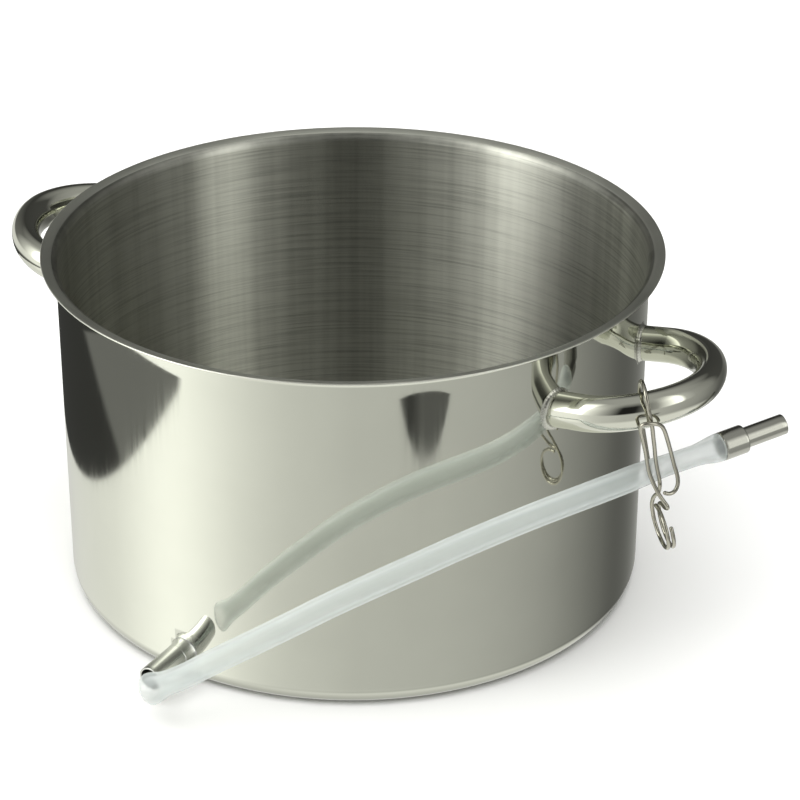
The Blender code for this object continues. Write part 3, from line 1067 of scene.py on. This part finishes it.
@dataclass
class Studio:
    """The camera, the pale floor, and the soft light of a product table."""

    aim: Vector = field(default_factory=lambda: Vector((0.0, 0.0, 0.108)))
    distance: float = 1.4474
    elevation: float = 0.4739
    roll: float = -0.0055
    lens: float = 117.51
    shift: tuple[float, float] = (0.0582, -0.0244)
    floor_size: float = 14.0
    floor_drop: float = 0.0002
    under_slopes: tuple[float, float] = (-46.0, -36.0)
    under_light: float = 1.05
    overhead_rise: tuple[float, float] = (0.60, 0.92)
    overhead_light: float = 0.48
    horizon: tuple[float, float] = (-0.06, 0.05)
    lamp_place: tuple[float, float, float] = (0.1, -0.2, 2.6)
    lamp_size: float = 4.0
    lamp_power: float = 105.0

    def camera(self) -> None:
        """Set the camera on its sphere round the aim, and turn it to face it."""
        data = bpy.data.cameras.new("camera")
        data.sensor_width = 36.0
        data.lens = self.lens
        data.shift_x, data.shift_y = self.shift
        data.clip_end = 50.0
        made = bpy.data.objects.new("camera", data)
        bpy.context.scene.collection.objects.link(made)
        level = math.cos(self.elevation)
        east = math.sin(CAMERA_TURN) * level
        south = math.cos(CAMERA_TURN) * level
        away = Vector((east, -south, math.sin(self.elevation)))
        look = away.to_track_quat("Z", "Y").to_matrix().to_4x4()
        place = Matrix.Translation(self.aim + away * self.distance)
        made.matrix_world = place @ look @ Matrix.Rotation(self.roll, 4, "Z")
        bpy.context.scene.camera = made

    def floor(self) -> None:
        """Lay the pale floor. Steel mirrors the studio below the horizon and not this sheet."""
        half = self.floor_size / 2
        mesh = bpy.data.meshes.new("floor")
        corners = [(-half, -half), (half, -half), (half, half), (-half, half)]
        mesh.from_pydata([(x, y, -self.floor_drop) for x, y in corners], [], [(0, 1, 2, 3)])
        made = bpy.data.materials.new("pale_floor")
        made.use_nodes = True
        graph = Graph(made.node_tree)
        coords = graph.node("TexCoord")
        fleck = graph.spread(graph.noise(coords.outputs["Object"], 3.0), 0.90, 0.92)
        colour = graph.node("CombineColor", {0: fleck, 1: fleck, 2: fleck})
        shader = graph.node("BsdfPrincipled", {"Base Color": colour.outputs[0], "Roughness": 0.9})
        graph.node("OutputMaterial", {"Surface": shader.outputs[0]})
        mesh.materials.append(made)
        sheet = bpy.data.objects.new("floor", mesh)
        bpy.context.scene.collection.objects.link(sheet)
        sheet.visible_glossy = False

    def surroundings(self) -> None:
        """Light the studio: a bright side, a weaker side and a dark middle above, and a pale table below.

        Brightness is a curve over the compass, counted from the camera's side, and it turns from the
        table's curve to the room's over a few degrees at the horizon.
        """
        world = bpy.data.worlds.new("studio")
        bpy.context.scene.world = world
        world.use_nodes = True
        graph = Graph(world.node_tree)
        way = graph.node("TexCoord").outputs["Generated"]
        parts = graph.node("SeparateXYZ", {0: way})
        # The compass angle runs from 0 to 1, with the camera's side in the middle.
        east = graph.math("MULTIPLY", parts.outputs["Y"], -1.0)
        angle = graph.math("ARCTAN2", parts.outputs["X"], east)
        angle = graph.math("SUBTRACT", angle, CAMERA_TURN)
        turned_angle = graph.math("ADD", graph.math("DIVIDE", angle, math.tau), 1.5)
        compass = graph.math("FRACT", turned_angle)
        table = self.curve(graph, compass, TABLE_LIGHT, "B_SPLINE")
        room = self.curve(graph, compass, ROOM_LIGHT, "LINEAR")
        degrees = graph.math("MULTIPLY", graph.math("SUBTRACT", compass, 0.5), 360.0)
        slope = graph.math("MULTIPLY", graph.math("ARCSINE", parts.outputs["Z"]), 180 / math.pi)
        under = graph.spread(slope, 1.0, 0.0, *self.under_slopes)
        table = graph.node("Mix", {0: under, 2: table, 3: self.under_light}, data_type="FLOAT").outputs[0]
        for shape in DARK_SHAPES:
            table = shape.over(graph, table, degrees, slope)
        rise = graph.spread(parts.outputs["Z"], 0.0, 1.0, *self.horizon)
        mixed = graph.node("Mix", {0: rise, 2: table, 3: room}, data_type="FLOAT").outputs[0]
        top = graph.spread(parts.outputs["Z"], 0.0, 1.0, *self.overhead_rise)
        mixed = graph.node("Mix", {0: top, 2: mixed, 3: self.overhead_light}, data_type="FLOAT").outputs[0]
        light = graph.node("Background", {"Color": (0.995, 1.0, 0.945, 1.0), "Strength": mixed})
        graph.node("OutputWorld", {"Surface": light.outputs[0]})
        bpy.context.scene.view_settings.view_transform = "Standard"

    def curve(self, graph: Graph, compass: Socket, stops: tuple, way: str) -> Socket:
        """A smooth curve of brightness over the compass.

        Args:
            graph: The world's graph.
            compass: The compass angle, from 0 to 1.
            stops: (degrees from the camera's side, brightness) pairs.
            way: How the ramp passes between them.

        Returns:
            The brightness.
        """
        brightest = 5.0
        ramp = graph.node("ValToRGB", {0: compass})
        ramp.color_ramp.interpolation = way
        elements = ramp.color_ramp.elements
        while len(elements) < len(stops):
            elements.new(0.5)
        for element, (degrees, value) in zip(elements, stops):
            element.position = degrees / 360 + 0.5
            share = value / brightest
            element.color = (share, share, share, 1.0)
        return graph.math("MULTIPLY", ramp.outputs[0], brightest)

    def lamp(self) -> None:
        """Hang a broad soft lamp over the table, for the floor and the hose."""
        data = bpy.data.lights.new("overhead", "AREA")
        data.shape = "DISK"
        data.size = self.lamp_size
        data.energy = self.lamp_power
        made = bpy.data.objects.new("overhead", data)
        bpy.context.scene.collection.objects.link(made)
        made.location = self.lamp_place
        made.rotation_euler = Vector(self.lamp_place).to_track_quat("Z", "Y").to_euler()
        made.visible_glossy = False


@dataclass(frozen=True)
class DarkShape:
    """Something dark in the studio, with a rounded lower edge, that polished steel mirrors."""

    centre: float
    low: float
    width: float
    reach: float
    tones: tuple[float, float]
    turn_at: float
    lean: float = 0.0
    roundness: float = 2.0
    fade: tuple[float, float] = (-0.03, 0.05)
    side_fade: float = 2.5
    tone_fade: float = 1.5
    top_fade: tuple[float, float] = (-23.5, -19.0)
    wall_top_slope: float = -26.0

    def over(self, graph: Graph, light: Socket, degrees: Socket, slope: Socket) -> Socket:
        """Lay the shape over a brightness.

        Its lower edge is a parabola over the compass, and its tone turns from the first to the second
        across a line that leans by some degrees of compass for each degree of slope.

        Args:
            graph: The world's graph.
            light: The brightness.
            degrees: The compass angle from the camera's side.
            slope: The angle above the horizon.

        Returns:
            The new brightness.
        """
        away = graph.math("SUBTRACT", degrees, self.centre)
        share = graph.math("ABSOLUTE", graph.math("DIVIDE", away, self.width))
        edge = graph.math("POWER", share, self.roundness)
        over = graph.math("SUBTRACT", graph.math("SUBTRACT", slope, self.low), edge)
        inside = graph.spread(over, 0.0, 1.0, *self.fade)
        full = self.reach - self.side_fade
        sides = graph.spread(graph.math("ABSOLUTE", away), 1.0, 0.0, full, self.reach)
        rise = graph.math("MULTIPLY", graph.math("SUBTRACT", slope, self.wall_top_slope), self.lean)
        leaning = graph.math("ADD", degrees, rise)
        turn = (self.turn_at - self.tone_fade, self.turn_at + self.tone_fade)
        tone = graph.spread(leaning, *self.tones, *turn)
        below = graph.spread(slope, 1.0, 0.0, *self.top_fade)
        mask = graph.math("MULTIPLY", graph.math("MULTIPLY", inside, sides), below)
        return graph.node("Mix", {0: mask, 2: light, 3: tone}, data_type="FLOAT").outputs[0]


DARK_SHAPES = (
    DarkShape(-122.0, -29.15, 38.0, 54.0, (0.045, 0.19), -125.0, lean=7.9),
    DarkShape(27.0, -28.85, 8.6, 12.5, (0.055, 0.12), 24.0, roundness=2.6),
)

# Brightness round the studio: (degrees from the camera's side, positive to its right, brightness).
TABLE_LIGHT = (
    (-180, 0.50),
    (-147, 0.90),
    (-110, 1.00),
    (-91, 1.32),
    (-75, 1.45),
    (-61, 1.25),
    (-47, 1.02),
    (-30, 0.80),
    (-14, 0.74),
    (0, 0.66),
    (34, 0.60),
    (52, 0.55),
    (70, 0.48),
    (91, 0.36),
    (117, 0.15),
    (135, 0.11),
    (155, 0.22),
    (180, 0.50),
)
ROOM_LIGHT = (
    (-180, 0.05),
    (-128, 0.20),
    (-105, 0.75),
    (-88, 1.60),
    (-78, 4.00),
    (-66, 4.60),
    (-58, 3.20),
    (-54, 1.60),
    (-44, 1.10),
    (-30, 0.60),
    (-17, 0.25),
    (-9, 0.02),
    (8, 0.02),
    (18, 0.20),
    (32, 0.45),
    (43, 1.20),
    (58, 2.60),
    (63, 0.70),
    (76, 0.45),
    (103, 0.30),
    (120, 0.08),
    (180, 0.06),
)


def main() -> None:
    """Build the studio and the kettle, piece by piece."""
    logging.basicConfig(level=logging.INFO, format="%(name)s %(message)s")
    studio = Studio()
    studio.camera()
    DrainHose().build(OutletFitting().build())
    studio.floor()
    studio.surroundings()
    studio.lamp()
    KettleShell().build()
    DrainSpout().build()
    TubeHandle("right", 0.0).build()
    TubeHandle("left", math.radians(182.5)).build()
    PinchClamp().build()


if __name__ == "__main__":
    main()
